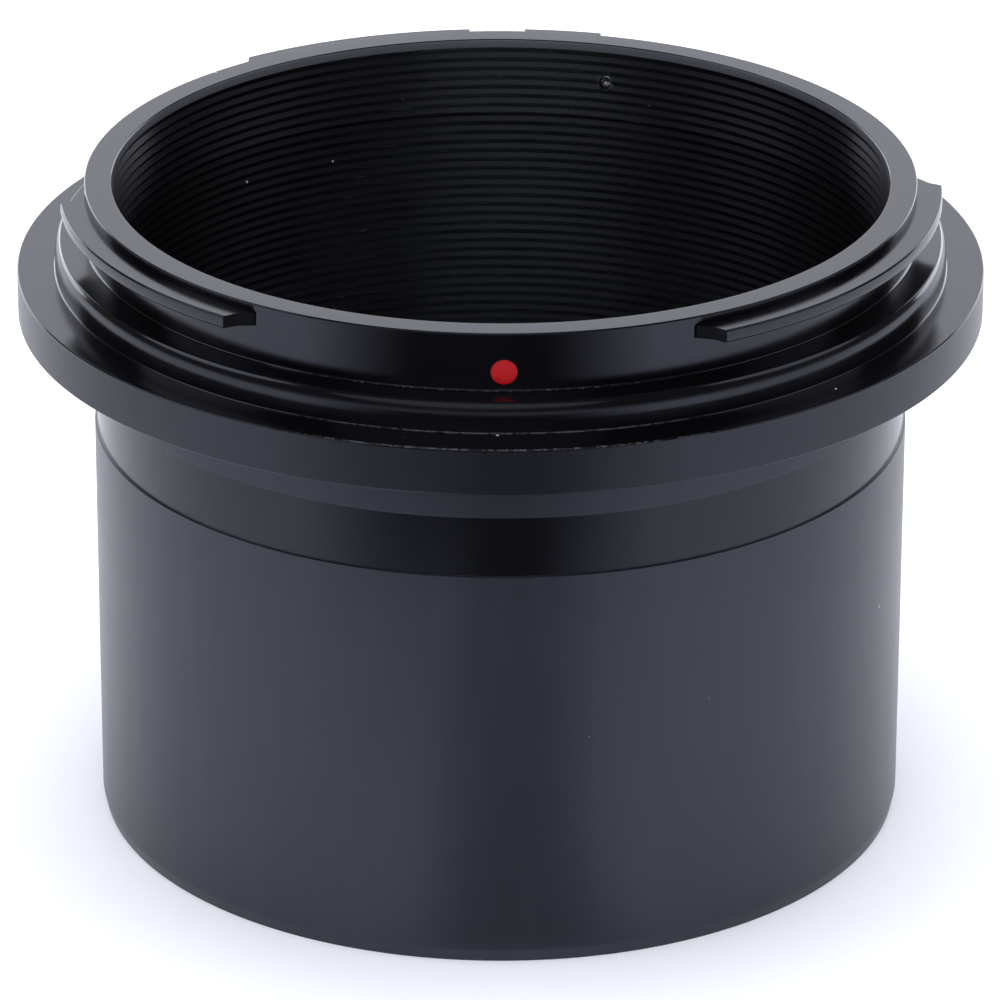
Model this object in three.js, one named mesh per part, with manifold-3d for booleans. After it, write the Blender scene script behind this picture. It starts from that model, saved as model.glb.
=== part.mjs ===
// 2 inch barlow lens whose rear end is a three-lug camera bayonet.
// Units are millimetres. +Z is the optical axis, from the sky end (nose) up to the camera end.
// The origin is the centre of the nose's bottom face, and -Y is the side with the red index dot.

import * as THREE from "three";
import { mergeVertices } from "three/addons/utils/BufferGeometryUtils.js";
import Module from "manifold-3d";

const wasm = await Module();
wasm.setup();

// ---------------------------------------------------------------- driving dimensions

const BARREL_RADIUS = 25.4;          // 2 inch push fit
const BORE_RADIUS = 24.0;            // 48 mm clear bore and filter thread
const FIT = 0.1;                     // clearance of screwed and pressed pieces, all round
const ROUND = 72;                    // sides of the large turned pieces
const ROUND_INNER = 60;              // sides of the pieces inside the cell
const ROUND_SMALL = 24;              // sides of the dot and the pin
const ROUND_SEAL = 8;                // sides of the seal's own section
const ARC_STEPS = 12;                // steps of an outline that follows the neck
const GLASS_STEPS = 6;               // steps of a lens curve from the axis to its rim
const CUT_OVERRUN = 1;               // how far a cutter reaches past what it cuts

// heights along the axis
const Z_UNDERCUT_LOW = 25.79;        // the shallow band turned into the barrel
const Z_UNDERCUT_HIGH = 29.59;
const Z_FLANGE_UNDER = 33.14;
const Z_FLANGE_TOP = 36.05;
const Z_SPIGOT_TOP = 36.31;          // end of the barrel's screwed spigot, inside the mount
const Z_LEDGE = 37.95;               // face that seats in the camera's throat
const Z_LUG_UNDER = 40.27;
const Z_LUG_TOP = 41.06;
const Z_RIM = 41.6;

// radii of the mount
const FLANGE_RADIUS = 30.0;
const STEP_RADIUS = 27.65;
const STEP_ROUNDING_WIDTH = 0.42;
const STEP_ROUNDING_HEIGHT = 1.1;
const STEP_ROUNDING_STEPS = 4;
const FLANGE_TOP_BEVEL = 0.3;
const MOUNT_BEVEL = 0.2;             // the mount's other edges and inside corners
const BORE_BEVEL = 0.1;
const LUG_RADIUS = 27.3;
const NECK_RADIUS = 25.74;
const SPIGOT_RADIUS = 24.8;
const SOCKET_DEPTH = 0.6;            // how far the barrel's shoulder enters the mount's underside

// barrel details
const UNDERCUT_DEPTH = 0.2;
const UNDERCUT_RUNOUT = 0.15;
const NOSE_BEVEL = 0.18;
const NOSE_BEVEL_HEIGHT = 0.8;
const NOSE_FACE_BEVEL = 0.2;

// angles are measured from the index dot, positive towards +X, in degrees
const LUGS = [
  { wallStart: 26.3, tipStart: 29.2, tipEnd: 89.2, wallEnd: 92.2 },
  { wallStart: 164.2, tipStart: 166.2, tipEnd: 216.7, wallEnd: 220.6 },
  { wallStart: 275.0, tipStart: 278.0, tipEnd: 323.1, wallEnd: 326.0 },
];
const SLOT = { start: 176.7, end: 184.4 };   // key slot milled through the rear lug
const LUG_EDGE_BEVEL = 0.15;
const LUG_ROOT = 0.9;                // how deep the lugs start inside the neck's wall
const LUG_END_HOLLOW = 0.28;                 // how far the middle of a lug's milled end is set back

// index dot and stop pin, both in the neck wall between the ledge and the lugs
const DOT_Z = 39.15;
const PIN_Z = 38.95;
const DOT_ANGLE = 0.5;
const DOT_RADIUS = 0.77;
const DOT_DEPTH = 0.4;
const DOT_SUNK = 0.04;               // the paint's face lies this far inside the wall
const PIN_ANGLE = 163.7;
const PIN_RADIUS = 0.45;
const PIN_INNER_END = 24.3;
const PIN_OUTER_END = 27.0;
const WALL_FEATURE_FIT = 0.06;

// lens cell
const CELL_RADIUS = BORE_RADIUS - FIT;
const CELL_POCKET_RADIUS = 22.0;
const CELL_APERTURE_RADIUS = 20.6;
const Z_CELL_BOTTOM = 4.5;
const Z_CELL_TOP = 16.5;
const CELL_LIP = 1.1;
const CELL_SEAT_BEVEL = 0.4;
const CELL_EDGE_BEVEL = 0.2;
const SPANNER_SLOT_WIDTH = 1.6;
const SPANNER_SLOT_DEPTH = 0.8;

// pieces in the cell, stacked upwards from the retaining ring
const GLASS_RADIUS = 21.8;
const GLASS_BEVEL = 0.2;
const RETAINER_SUNK = 0.2;           // the ring's face lies this far inside the housing
const RETAINER_HEIGHT = 1.4;
const RETAINER_INNER_RADIUS = 20.4;
const SEAL_SECTION = 0.8;
const SEAL_RADIUS = 21.2;
const SPACER_HEIGHT = 0.4;
const SPACER_INNER_RADIUS = 21.3;
const CROWN_EDGE = 6.0;
const CROWN_FRONT_CURVE = 110;
const CROWN_REAR_CURVE = 90;
const FLINT_EDGE = 1.5;
const FLINT_FRONT_CURVE = 88;
const FLINT_REAR_CURVE = 260;

// ---------------------------------------------------------------- materials

const metal = (color, roughness) => new THREE.MeshStandardMaterial({ color, roughness, metalness: 0.6 });
const blackGloss = metal(0x17181c, 0.22);
const blackSatin = metal(0x2b2d34, 0.42);
const blackMatt = metal(0x111215, 0.6);
const brightSteel = new THREE.MeshStandardMaterial({ color: 0xb4b6ba, roughness: 0.3, metalness: 1 });
const redPaint = new THREE.MeshStandardMaterial({ color: 0xbe1e23, roughness: 0.45, metalness: 0 });
const blackRubber = new THREE.MeshStandardMaterial({ color: 0x0d0d0e, roughness: 0.8, metalness: 0 });
const coatedGlass = new THREE.MeshStandardMaterial({
  color: 0xb9d6c6, roughness: 0.02, metalness: 0, transparent: true, opacity: 0.35,
});

// ---------------------------------------------------------------- geometry helpers

const point = (radius, height) => new THREE.Vector2(radius, height);
const radians = THREE.MathUtils.degToRad;

// place on a circle about the axis: angle 0 is -Y, and angles grow towards +X
function polar(radius, angle) {
  return new THREE.Vector2(radius * Math.sin(radians(angle)), -radius * Math.cos(radians(angle)));
}

function signedVolume(geometry) {
  const position = geometry.getAttribute("position");
  const index = geometry.getIndex();
  const corner = (i) => new THREE.Vector3().fromBufferAttribute(position, index.getX(i));
  let volume = 0;
  for (let i = 0; i < index.count; i += 3) {
    volume += corner(i).dot(corner(i + 1).cross(corner(i + 2))) / 6;
  }
  return volume;
}

function bare(geometry) {
  const copy = geometry.clone();
  copy.deleteAttribute("normal");
  copy.deleteAttribute("uv");
  return mergeVertices(copy, 1e-5);
}

// faces turned so that they point out of the material
function faceOutwards(geometry) {
  if (signedVolume(geometry) < 0) {
    const index = geometry.getIndex().array;
    for (let i = 0; i < index.length; i += 3) {
      [index[i + 1], index[i + 2]] = [index[i + 2], index[i + 1]];
    }
  }
  return geometry;
}

// ring or disc turned about +Z from a half section of (radius, height) points
function turned(section, sides) {
  const onAxis = section[0].x === 0 && section[section.length - 1].x === 0;
  const points = onAxis ? section : [...section, section[0]];
  const geometry = new THREE.LatheGeometry(points, sides);
  geometry.rotateX(Math.PI / 2);
  return faceOutwards(bare(geometry));
}

// points of the step's rounded upper edge, from its wall up and inwards to the ledge
function roundedStep() {
  const points = [];
  for (let i = 0; i <= STEP_ROUNDING_STEPS; i += 1) {
    const angle = (Math.PI / 2) * (i / STEP_ROUNDING_STEPS);
    const inwards = STEP_ROUNDING_WIDTH * (1 - Math.cos(angle));
    const down = STEP_ROUNDING_HEIGHT * (1 - Math.sin(angle));
    points.push(point(STEP_RADIUS - inwards, Z_LEDGE - down));
  }
  return points;
}

function toSolid(geometry) {
  const merged = bare(geometry);
  return new wasm.Manifold(new wasm.Mesh({
    numProp: 3,
    vertProperties: new Float32Array(merged.getAttribute("position").array),
    triVerts: new Uint32Array(merged.getIndex().array),
  }));
}

function toGeometry(solid) {
  const mesh = solid.getMesh();
  const geometry = new THREE.BufferGeometry();
  geometry.setAttribute("position", new THREE.BufferAttribute(new Float32Array(mesh.vertProperties), 3));
  geometry.setIndex(new THREE.BufferAttribute(new Uint32Array(mesh.triVerts), 1));
  geometry.computeVertexNormals();
  return geometry;
}

// upright prism of a plan outline
function prism(shape, low, high) {
  const geometry = new THREE.ExtrudeGeometry(shape, {
    depth: high - low,
    bevelEnabled: false,
  });
  geometry.translate(0, 0, low);
  return faceOutwards(bare(geometry));
}

// cylinder that lies along a radius of the mount
function radialCylinder(radius, inner, outer, angle, height) {
  const geometry = new THREE.CylinderGeometry(radius, radius, outer - inner, ROUND_SMALL);
  geometry.translate(0, -(inner + outer) / 2, 0);
  geometry.rotateZ(radians(angle));
  geometry.translate(0, 0, height);
  return faceOutwards(bare(geometry));
}

// ---------------------------------------------------------------- bayonet mount

// roof of the socket for the barrel's shoulder
const zSocketRoof = Z_FLANGE_UNDER + SOCKET_DEPTH;

// turned shape of the mount, without its lugs
function mountSection() {
  const counterbore = SPIGOT_RADIUS + FIT;
  const socket = BARREL_RADIUS + FIT;
  return [
    point(counterbore, zSocketRoof),
    point(socket, zSocketRoof),
    point(socket, Z_FLANGE_UNDER),
    point(FLANGE_RADIUS - MOUNT_BEVEL, Z_FLANGE_UNDER),
    point(FLANGE_RADIUS, Z_FLANGE_UNDER + MOUNT_BEVEL),
    point(FLANGE_RADIUS, Z_FLANGE_TOP - FLANGE_TOP_BEVEL),
    point(FLANGE_RADIUS - FLANGE_TOP_BEVEL, Z_FLANGE_TOP),
    point(STEP_RADIUS + MOUNT_BEVEL, Z_FLANGE_TOP),
    point(STEP_RADIUS, Z_FLANGE_TOP + MOUNT_BEVEL),
    ...roundedStep(),
    point(NECK_RADIUS + MOUNT_BEVEL, Z_LEDGE),
    point(NECK_RADIUS, Z_LEDGE + MOUNT_BEVEL),
    point(NECK_RADIUS, Z_RIM - MOUNT_BEVEL),
    point(NECK_RADIUS - MOUNT_BEVEL, Z_RIM),
    point(BORE_RADIUS + BORE_BEVEL, Z_RIM),
    point(BORE_RADIUS, Z_RIM - BORE_BEVEL),
    point(BORE_RADIUS, Z_SPIGOT_TOP + FIT),
    point(counterbore, Z_SPIGOT_TOP + FIT),
  ];
}

function lugSection() {
  const inside = NECK_RADIUS - LUG_ROOT;
  return [
    point(inside, Z_LUG_UNDER),
    point(LUG_RADIUS - LUG_EDGE_BEVEL, Z_LUG_UNDER),
    point(LUG_RADIUS, Z_LUG_UNDER + LUG_EDGE_BEVEL),
    point(LUG_RADIUS, Z_LUG_TOP - LUG_EDGE_BEVEL),
    point(LUG_RADIUS - LUG_EDGE_BEVEL, Z_LUG_TOP),
    point(inside, Z_LUG_TOP),
  ];
}

// a lug's milled end, walked outwards from the neck wall; side is +1 where the lug lies at
// larger angles than its end and -1 where it lies at smaller ones
function endPlaces(wallAngle, tipAngle, side) {
  const middleRadius = (NECK_RADIUS + LUG_RADIUS) / 2;
  const hollow = THREE.MathUtils.radToDeg(LUG_END_HOLLOW / middleRadius) * side;
  return [
    polar(NECK_RADIUS, wallAngle),
    polar(middleRadius, (wallAngle + tipAngle) / 2 + hollow),
    polar(LUG_RADIUS, tipAngle),
  ];
}

// plan outline of the material milled away between one lug and the next
function gapOutline(before, after) {
  const inside = NECK_RADIUS - LUG_ROOT - CUT_OVERRUN;
  const outside = LUG_RADIUS + CUT_OVERRUN;
  const fullTurn = after.tipStart < before.tipEnd ? 360 : 0;
  const places = [
    polar(inside, before.wallEnd),
    ...endPlaces(before.wallEnd, before.tipEnd, -1),
  ];
  for (let i = 0; i <= ARC_STEPS; i += 1) {
    const angle = before.tipEnd + ((after.tipStart + fullTurn - before.tipEnd) * i) / ARC_STEPS;
    places.push(polar(outside, angle));
  }
  places.push(...endPlaces(after.wallStart, after.tipStart, 1).reverse());
  for (let i = ARC_STEPS; i > 0; i -= 1) {
    const angle = before.wallEnd + ((after.wallStart + fullTurn - before.wallEnd) * i) / ARC_STEPS;
    places.push(polar(inside, angle));
  }
  return new THREE.Shape(places);
}

function slotOutline() {
  const outside = LUG_RADIUS + CUT_OVERRUN;
  return new THREE.Shape([
    polar(NECK_RADIUS, SLOT.start),
    polar(outside, SLOT.start),
    polar(outside, SLOT.end),
    polar(NECK_RADIUS, SLOT.end),
  ]);
}

function bayonetMount() {
  const low = Z_LUG_UNDER - CUT_OVERRUN;
  const high = Z_LUG_TOP + CUT_OVERRUN;
  let lugs = toSolid(turned(lugSection(), ROUND));
  LUGS.forEach((lug, i) => {
    const next = LUGS[(i + 1) % LUGS.length];
    lugs = lugs.subtract(toSolid(prism(gapOutline(lug, next), low, high)));
  });
  lugs = lugs.subtract(toSolid(prism(slotOutline(), low, high)));
  const outside = NECK_RADIUS + CUT_OVERRUN;
  const recess = radialCylinder(
    DOT_RADIUS + WALL_FEATURE_FIT, NECK_RADIUS - DOT_DEPTH, outside, DOT_ANGLE, DOT_Z,
  );
  const pinHole = radialCylinder(
    PIN_RADIUS + WALL_FEATURE_FIT, BORE_RADIUS - CUT_OVERRUN, outside, PIN_ANGLE, PIN_Z,
  );
  const solid = toSolid(turned(mountSection(), ROUND))
    .add(lugs)
    .subtract(toSolid(recess))
    .subtract(toSolid(pinHole));
  return toGeometry(solid);
}

// ---------------------------------------------------------------- barrel, dot and pin

function nosepieceBarrel() {
  const groove = BARREL_RADIUS - UNDERCUT_DEPTH;
  return turned([
    point(BORE_RADIUS + NOSE_FACE_BEVEL, 0),
    point(BARREL_RADIUS - NOSE_BEVEL, 0),
    point(BARREL_RADIUS, NOSE_BEVEL_HEIGHT),
    point(BARREL_RADIUS, Z_UNDERCUT_LOW - UNDERCUT_RUNOUT),
    point(groove, Z_UNDERCUT_LOW),
    point(groove, Z_UNDERCUT_HIGH),
    point(BARREL_RADIUS, Z_UNDERCUT_HIGH + UNDERCUT_RUNOUT),
    point(BARREL_RADIUS, zSocketRoof - FIT),
    point(SPIGOT_RADIUS, zSocketRoof - FIT),
    point(SPIGOT_RADIUS, Z_SPIGOT_TOP),
    point(BORE_RADIUS, Z_SPIGOT_TOP),
    point(BORE_RADIUS, NOSE_FACE_BEVEL),
  ], ROUND);
}

function indexDot() {
  const face = NECK_RADIUS - DOT_SUNK;
  const back = NECK_RADIUS - DOT_DEPTH + WALL_FEATURE_FIT;
  return radialCylinder(DOT_RADIUS, back, face, DOT_ANGLE, DOT_Z);
}

function stopPin() {
  return radialCylinder(PIN_RADIUS, PIN_INNER_END, PIN_OUTER_END, PIN_ANGLE, PIN_Z);
}

// ---------------------------------------------------------------- lens cell

// two slots for a spanner, across a ring's lower face
function cutSpannerSlots(geometry, face) {
  let solid = toSolid(geometry);
  const length = 2 * (BORE_RADIUS + CUT_OVERRUN);
  const bar = new THREE.BoxGeometry(length, SPANNER_SLOT_WIDTH, 2 * SPANNER_SLOT_DEPTH);
  bar.translate(0, 0, face);
  solid = solid.subtract(toSolid(bar));
  return toGeometry(solid);
}

function cellHousing() {
  const bevel = CELL_EDGE_BEVEL;
  const seat = Z_CELL_TOP - CELL_LIP;
  const ring = turned([
    point(CELL_POCKET_RADIUS, Z_CELL_BOTTOM),
    point(CELL_RADIUS - bevel, Z_CELL_BOTTOM),
    point(CELL_RADIUS, Z_CELL_BOTTOM + bevel),
    point(CELL_RADIUS, Z_CELL_TOP - bevel),
    point(CELL_RADIUS - bevel, Z_CELL_TOP),
    point(CELL_APERTURE_RADIUS + CELL_SEAT_BEVEL, Z_CELL_TOP),
    point(CELL_APERTURE_RADIUS, Z_CELL_TOP - CELL_SEAT_BEVEL),
    point(CELL_APERTURE_RADIUS, seat),
    point(CELL_POCKET_RADIUS, seat),
  ], ROUND_INNER);
  return cutSpannerSlots(ring, Z_CELL_BOTTOM);
}

// points of a spherical surface's section, from the axis to the rim; curve > 0 is hollow seen from below
function glassSurface(edgeHeight, curve) {
  const rim = GLASS_RADIUS - GLASS_BEVEL;
  const radius = Math.abs(curve);
  const points = [];
  for (let i = 0; i <= GLASS_STEPS; i += 1) {
    const away = (rim * i) / GLASS_STEPS;
    const drop = Math.sqrt(radius ** 2 - away ** 2) - Math.sqrt(radius ** 2 - rim ** 2);
    points.push(point(away, edgeHeight + Math.sign(curve) * drop));
  }
  return points;
}

function glassElement(low, edge, lowerCurve, upperCurve) {
  return turned([
    ...glassSurface(low, lowerCurve),
    point(GLASS_RADIUS, low + GLASS_BEVEL),
    point(GLASS_RADIUS, low + edge - GLASS_BEVEL),
    ...glassSurface(low + edge, upperCurve).reverse(),
  ], ROUND_INNER);
}

function flatRing(inner, outer, low, height) {
  return turned([
    point(inner, low),
    point(outer, low),
    point(outer, low + height),
    point(inner, low + height),
  ], ROUND_INNER);
}

const zRetainer = Z_CELL_BOTTOM + RETAINER_SUNK;
const zSeal = zRetainer + RETAINER_HEIGHT + FIT;
const zCrown = zSeal + SEAL_SECTION + FIT;
const zSpacer = zCrown + CROWN_EDGE + FIT;
const zFlint = zSpacer + SPACER_HEIGHT + FIT;

function crownLens() {
  return glassElement(zCrown, CROWN_EDGE, CROWN_FRONT_CURVE, -CROWN_REAR_CURVE);
}

function flintLens() {
  return glassElement(zFlint, FLINT_EDGE, -FLINT_FRONT_CURVE, -FLINT_REAR_CURVE);
}

function lensSpacer() {
  return flatRing(SPACER_INNER_RADIUS, GLASS_RADIUS, zSpacer, SPACER_HEIGHT);
}

function retainingRing() {
  const ring = flatRing(RETAINER_INNER_RADIUS, CELL_POCKET_RADIUS - FIT, zRetainer, RETAINER_HEIGHT);
  return cutSpannerSlots(ring, zRetainer);
}

function cellSeal() {
  const half = SEAL_SECTION / 2;
  const section = [];
  for (let i = 0; i < ROUND_SEAL; i += 1) {
    const angle = (2 * Math.PI * i) / ROUND_SEAL;
    section.push(point(SEAL_RADIUS + half * Math.cos(angle), zSeal + half + half * Math.sin(angle)));
  }
  return turned(section, ROUND_INNER);
}

// ---------------------------------------------------------------- assembly

const barlow = new THREE.Group();

function addPiece(name, geometry, material) {
  const mesh = new THREE.Mesh(geometry, material);
  mesh.name = name;
  barlow.add(mesh);
}

addPiece("bayonet_mount", bayonetMount(), blackGloss);
addPiece("nosepiece_barrel", nosepieceBarrel(), blackSatin);
addPiece("index_dot", indexDot(), redPaint);
addPiece("stop_pin", stopPin(), brightSteel);
addPiece("cell_housing", cellHousing(), blackMatt);
addPiece("retaining_ring", retainingRing(), blackMatt);
addPiece("cell_seal", cellSeal(), blackRubber);
addPiece("crown_lens", crownLens(), coatedGlass);
addPiece("lens_spacer", lensSpacer(), blackMatt);
addPiece("flint_lens", flintLens(), coatedGlass);

export default barlow;
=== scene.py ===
"""2 inch barlow lens with a three-lug camera bayonet: fine meshes, materials, studio and camera.

Lengths in the profiles are millimetres in the row frame: +Z is the optical axis, from the nose up to the
camera end, and -Y is the side with the red index dot. Angles round the axis are in degrees from -Y,
positive towards +X.
"""
import math

import bmesh
import bpy
from mathutils import Matrix, Vector


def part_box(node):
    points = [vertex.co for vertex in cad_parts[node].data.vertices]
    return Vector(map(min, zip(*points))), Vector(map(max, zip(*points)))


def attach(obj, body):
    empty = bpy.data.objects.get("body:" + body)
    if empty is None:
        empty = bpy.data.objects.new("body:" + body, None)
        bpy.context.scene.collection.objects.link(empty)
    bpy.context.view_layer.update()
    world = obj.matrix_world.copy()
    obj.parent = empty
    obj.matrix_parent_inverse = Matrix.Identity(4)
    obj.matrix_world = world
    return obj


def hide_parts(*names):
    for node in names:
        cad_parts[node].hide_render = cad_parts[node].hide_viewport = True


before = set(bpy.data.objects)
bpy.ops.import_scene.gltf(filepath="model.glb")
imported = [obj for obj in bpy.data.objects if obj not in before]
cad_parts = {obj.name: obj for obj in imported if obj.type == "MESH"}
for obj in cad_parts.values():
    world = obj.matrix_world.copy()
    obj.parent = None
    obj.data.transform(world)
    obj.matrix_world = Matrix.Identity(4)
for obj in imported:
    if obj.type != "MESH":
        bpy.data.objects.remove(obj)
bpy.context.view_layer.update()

MM = 0.001

# ------------------------------------------------------------------ sizes, from the frame


def box_mm(node):
    low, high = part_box(node)
    return low / MM, high / MM


MOUNT_LOW, MOUNT_HIGH = box_mm("bayonet_mount")
BARREL_HIGH = box_mm("nosepiece_barrel")[1]
CELL_LOW, CELL_HIGH = box_mm("cell_housing")
RETAINER_LOW, RETAINER_HIGH = box_mm("retaining_ring")
SEAL_LOW, SEAL_HIGH = box_mm("cell_seal")
CROWN_LOW, CROWN_HIGH = box_mm("crown_lens")
SPACER_LOW, SPACER_HIGH = box_mm("lens_spacer")
FLINT_HIGH = box_mm("flint_lens")[1]
DOT_LOW, DOT_HIGH = box_mm("index_dot")
PIN_LOW, PIN_HIGH = box_mm("stop_pin")

RIM_Z = MOUNT_HIGH.z
FLANGE_UNDER_Z = MOUNT_LOW.z
FLANGE_RADIUS = MOUNT_HIGH.x
BARREL_RADIUS = BARREL_HIGH.x
SPIGOT_TOP_Z = BARREL_HIGH.z
CELL_RADIUS = CELL_HIGH.x

# heights of the mount, down from its rim
LUG_TOP_Z = RIM_Z - 0.54
KEYED_LUG_TOP_Z = RIM_Z - 0.42
LUG_UNDER_Z = RIM_Z - 1.33
LEDGE_Z = RIM_Z - 3.65
STEP_WALL_TOP_Z = LEDGE_Z - 1.1
STEP_ROUNDING_WIDTH = 0.42
FLANGE_TOP_Z = FLANGE_UNDER_Z + 2.91

NECK_RADIUS = 25.74
LUG_RADIUS = 27.3
STEP_RADIUS = 27.65
BORE_RADIUS = 24.0
SPIGOT_RADIUS = 24.8
SOCKET_DEPTH = 0.6
JOINT_GAP = 0.03          # hairline left between screwed pieces

# barrel
UNDERCUT_LOW_Z = 25.79
UNDERCUT_HIGH_Z = 29.59
UNDERCUT_DEPTH = 0.15
UNDERCUT_RUNOUT = 0.04    # height over which the band's two shoulders slope
NOSE_BEVEL = 0.17         # width of the long bevel at the nose, and its height
NOSE_BEVEL_Z = 0.8

# anti-glare ridges of the bore, and the filter thread at the nose
RIDGE_PITCH = 0.632
RIDGE_DEPTH = 0.2
RIDGE_TOP_Z = RIM_Z - 0.55
LIP_FLARE = 0.06
MOUNT_RIDGES = 7          # the joint with the barrel lies in the groove below these
CREST_SHARE = 0.10        # shares of the pitch, down from a ridge's top
ROOT_TOP_SHARE = 0.48
ROOT_LOW_SHARE = 0.62
THREAD_PITCH = 0.75
THREAD_DEPTH = 0.36
THREAD_TOP_Z = CELL_LOW.z - 0.3

# lugs: angles where each end leaves the neck wall and where it reaches full radius
LUGS = [
    {"wall": (26.3, 92.2), "tip": (29.2, 89.2), "top": LUG_TOP_Z},
    {"wall": (164.2, 176.7), "tip": (166.2, 176.7), "top": KEYED_LUG_TOP_Z},
    {"wall": (184.4, 220.6), "tip": (184.4, 216.7), "top": KEYED_LUG_TOP_Z},
    {"wall": (275.0, 326.0), "tip": (278.0, 323.1), "top": LUG_TOP_Z},
]
LUG_STEP_ANGLE = 0.75
LUG_EDGE = 0.12           # rounding of a lug's outer edges
END_HOLLOW = 0.28         # how far the middle of a milled end is set back
END_CORNER = 0.10         # share of the end taken by the round in its inside corner

# red dot: paint in a shallow round recess of the neck
DOT_ANGLE = 0.5
DOT_Z = (DOT_LOW.z + DOT_HIGH.z) / 2
DOT_RADIUS = 0.79
RECESS_RADIUS = 0.80
RECESS_DEPTH = 0.45
PAINT_SURFACE = NECK_RADIUS - 0.06
PAINT_THICKNESS = 0.34
PAINT_CROWN = 0.03        # how far the middle of the paint stands above its edge

# stop pin, which lies along a radius through the neck's wall
PIN_ANGLE = 163.7
PIN_Z = (PIN_LOW.z + PIN_HIGH.z) / 2
PIN_RADIUS = 0.45
PIN_HOLE_RADIUS = 0.50
PIN_INNER = 24.3          # distances of its ends from the axis
PIN_OUTER = 27.0
PIN_DIMPLE = [(0.0, 0.22), (0.16, 0.16), (0.28, 0.0)]    # radius and depth of its drilled centre

# lens cell
POCKET_RADIUS = 22.0
APERTURE_RADIUS = 20.6
APERTURE_BEVEL = 0.4
SEAT_THICKNESS = 1.1      # from the glass seat to the housing's upper face
RETAINER_BORE_RADIUS = 20.4
SPACER_BORE_RADIUS = 21.3
SLOT_BAR = (52, 1.6, 1.6)     # length, width and height of the bar that cuts both spanner slots
CROWN_CURVES = (110, -90)     # radii of the lower and upper surface; above 0 it bulges upwards
FLINT_CURVES = (-88, -260)
FLINT_EDGE = 1.5          # thickness at the rim
LENS_BEVEL = 0.2

# sides of the turned pieces
AROUND = 360
CELL_SIDES = 240
OPTIC_SIDES = 180
SMALL_SIDES = 48

ON_AXIS = 1e-6            # a radius below this is a point on the axis
SHARP_ANGLE = 50          # edges that turn by more than this stay crisp
LENS_SHARP_ANGLE = 30


# ------------------------------------------------------------------ mesh helpers


def polar(radius, angle, z):
    """Place in metres at a radius and height in millimetres."""
    turn = math.radians(angle)
    return Vector((radius * math.sin(turn), -radius * math.cos(turn), z)) * MM


def rounded(corners, steps=4):
    """Section outline from corners (radius, height, rounding), each replaced by an arc of its rounding."""
    outline = []
    count = len(corners)
    for i, (r, z, size) in enumerate(corners):
        here = Vector((r, z))
        if size <= 0:
            outline.append(here)
            continue
        before = Vector(corners[i - 1][:2]) - here
        after = Vector(corners[(i + 1) % count][:2]) - here
        before.normalize()
        after.normalize()
        half = before.angle(after) / 2
        reach = size / math.tan(half)
        centre = here + (before + after).normalized() * (size / math.sin(half))
        start = here + before * reach - centre
        end = here + after * reach - centre
        swing = start.angle_signed(end)
        for k in range(steps + 1):
            spoke = start.copy()
            spoke.rotate(Matrix.Rotation(-swing * k / steps, 2))
            outline.append(centre + spoke)
    return outline


def ridges(top, count, pitch, depth, radius):
    """Section points of turned grooves, from the top down: crest, flank, root, flank."""
    points = []
    for i in range(count):
        z = top - i * pitch
        points.append(Vector((radius, z)))
        points.append(Vector((radius, z - CREST_SHARE * pitch)))
        points.append(Vector((radius + depth, z - ROOT_TOP_SHARE * pitch)))
        points.append(Vector((radius + depth, z - ROOT_LOW_SHARE * pitch)))
    points.append(Vector((radius, top - count * pitch)))
    return points


def shade_smooth(bm, sharp_angle):
    """Smooth shading that keeps edges sharper than an angle crisp."""
    limit = math.radians(sharp_angle)
    for face in bm.faces:
        face.smooth = True
    for edge in bm.edges:
        edge.smooth = len(edge.link_faces) == 2 and edge.calc_face_angle() < limit


def piece_from(name, bm, sharp_angle=SHARP_ANGLE):
    """Object from a bmesh, which is used up."""
    bmesh.ops.recalc_face_normals(bm, faces=bm.faces)
    shade_smooth(bm, sharp_angle)
    mesh = bpy.data.meshes.new(name)
    bm.to_mesh(mesh)
    bm.free()
    piece = bpy.data.objects.new(name, mesh)
    bpy.context.scene.collection.objects.link(piece)
    return piece


def turned_bmesh(outline, sides=AROUND):
    """Solid of revolution about the axis from a closed outline of (radius, height) points."""
    bm = bmesh.new()
    columns = []
    for k in range(sides):
        angle = 360 * k / sides
        column = []
        for j, (r, z) in enumerate(outline):
            on_axis = r < ON_AXIS
            if on_axis and k > 0:
                column.append(columns[0][j])
            else:
                column.append(bm.verts.new(polar(r, angle, z)))
        columns.append(column)
    closed = outline[0][0] > ON_AXIS
    last = len(outline) if closed else len(outline) - 1
    for k in range(sides):
        here, there = columns[k], columns[(k + 1) % sides]
        for j in range(last):
            m = (j + 1) % len(outline)
            corners = []
            for vert in (here[j], there[j], there[m], here[m]):
                if vert not in corners:
                    corners.append(vert)
            bm.faces.new(corners)
    return bm


def crisp_normals(piece):
    """Shading normals weighted by face area, so that flat faces beside a rounded edge stay flat."""
    modifier = piece.modifiers.new("normals", "WEIGHTED_NORMAL")
    modifier.keep_sharp = True
    modifier.weight = 90


def apply_boolean(piece, tool, operation):
    """Adds or cuts a tool, which is used up, and keeps the result as the piece's own mesh."""
    modifier = piece.modifiers.new("cut", "BOOLEAN")
    modifier.operation = operation
    modifier.solver = "EXACT"
    modifier.object = tool
    bpy.context.view_layer.update()
    evaluated = piece.evaluated_get(bpy.context.evaluated_depsgraph_get())
    mesh = bpy.data.meshes.new_from_object(evaluated)
    piece.modifiers.clear()
    old = piece.data
    piece.data = mesh
    bpy.data.meshes.remove(old)
    bpy.data.objects.remove(tool)


def refresh_edges(piece):
    """Merges the seams that a boolean left and shades the piece again."""
    bm = bmesh.new()
    bm.from_mesh(piece.data)
    bmesh.ops.remove_doubles(bm, verts=bm.verts, dist=1e-7)
    shade_smooth(bm, SHARP_ANGLE)
    bm.to_mesh(piece.data)
    bm.free()


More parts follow.
